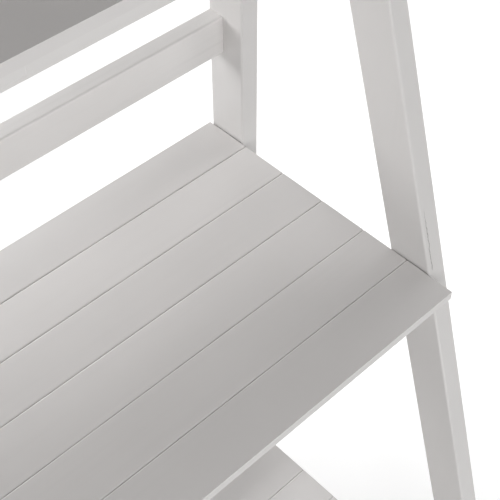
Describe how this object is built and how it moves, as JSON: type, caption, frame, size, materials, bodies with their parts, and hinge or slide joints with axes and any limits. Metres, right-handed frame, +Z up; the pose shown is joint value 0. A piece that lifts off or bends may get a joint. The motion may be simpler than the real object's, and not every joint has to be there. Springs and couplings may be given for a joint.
{
  "type": "ladder shelf",
  "caption": "White painted folding A-frame ladder shelf: slatted shelves that grow deeper towards the floor, upright rear posts with guard rails, sloping front legs hinged at the top.",
  "frame": {"origin": "on the floor, at the centre of the box around the open shelf", "axes": "+X to the right along the slats, +Y to the back, where the upright posts are, +Z up; the front is -Y"},
  "size_m": [0.643, 0.4746, 1.2385],
  "materials": {
    "shelf_paint": "satin white paint over wood boards",
    "frame_paint": "satin white paint over wood",
    "steel": "zinc plated",
    "glide_plastic": "matte",
    "beech": "bare wood"
  },
  "bodies": {
    "rear_frame": {"left_post": "frame_paint", "right_post": "frame_paint", "lower_back_rail": "frame_paint", "middle_back_rail": "frame_paint", "upper_back_rail": "frame_paint", "top_left_cleat": "frame_paint", "top_right_cleat": "frame_paint", "top_slat_1": "shelf_paint", "top_slat_2": "shelf_paint", "top_slat_screws": "steel", "top_dowels": "beech", "pivot_bolts": "steel", "back_rail_bolts": "steel", "post_hinge_leaves": "steel", "hinge_pins": "steel", "post_hinge_screws": "steel", "rear_glides": "glide_plastic"},
    "front_frame": {"left_leg": "frame_paint", "right_leg": "frame_paint", "lower_cross_rail": "frame_paint", "middle_cross_rail": "frame_paint", "upper_cross_rail": "frame_paint", "cross_rail_bolts": "steel", "leg_hinge_leaves": "steel", "leg_hinge_screws": "steel", "front_glides": "glide_plastic"},
    "lower_shelf": {"lower_slat_1": "shelf_paint", "lower_slat_2": "shelf_paint", "lower_slat_3": "shelf_paint", "lower_slat_4": "shelf_paint", "lower_slat_5": "shelf_paint", "lower_slat_6": "shelf_paint", "lower_slat_7": "shelf_paint", "lower_slat_8": "shelf_paint", "lower_slat_9": "shelf_paint", "lower_left_batten": "frame_paint", "lower_centre_batten": "frame_paint", "lower_right_batten": "frame_paint", "lower_stop_blocks": "frame_paint", "lower_slat_screws": "steel"},
    "middle_shelf": {"middle_slat_1": "shelf_paint", "middle_slat_2": "shelf_paint", "middle_slat_3": "shelf_paint", "middle_slat_4": "shelf_paint", "middle_slat_5": "shelf_paint", "middle_slat_6": "shelf_paint", "middle_left_batten": "frame_paint", "middle_centre_batten": "frame_paint", "middle_right_batten": "frame_paint", "middle_stop_blocks": "frame_paint", "middle_slat_screws": "steel"},
    "upper_shelf": {"upper_slat_1": "shelf_paint", "upper_slat_2": "shelf_paint", "upper_slat_3": "shelf_paint", "upper_slat_4": "shelf_paint", "upper_left_batten": "frame_paint", "upper_centre_batten": "frame_paint", "upper_right_batten": "frame_paint", "upper_stop_blocks": "frame_paint", "upper_slat_screws": "steel"}
  },
  "joints": [
    {"name": "front_frame_fold", "type": "hinge", "parent": "rear_frame", "child": "front_frame", "pos_m": [0, 0.19172, 1.216], "axis": [1, 0, 0], "range_deg": [0, 17.55]},
    {"name": "lower_shelf_fold", "type": "hinge", "parent": "rear_frame", "child": "lower_shelf", "pos_m": [0, 0.20042, 0.165], "axis": [-1, 0, 0], "range_deg": [0, 90]},
    {"name": "middle_shelf_fold", "type": "hinge", "parent": "rear_frame", "child": "middle_shelf", "pos_m": [0, 0.20042, 0.625], "axis": [-1, 0, 0], "range_deg": [0, 90]},
    {"name": "upper_shelf_fold", "type": "hinge", "parent": "rear_frame", "child": "upper_shelf", "pos_m": [0, 0.20042, 0.973], "axis": [-1, 0, 0], "range_deg": [0, 90]}
  ]
}
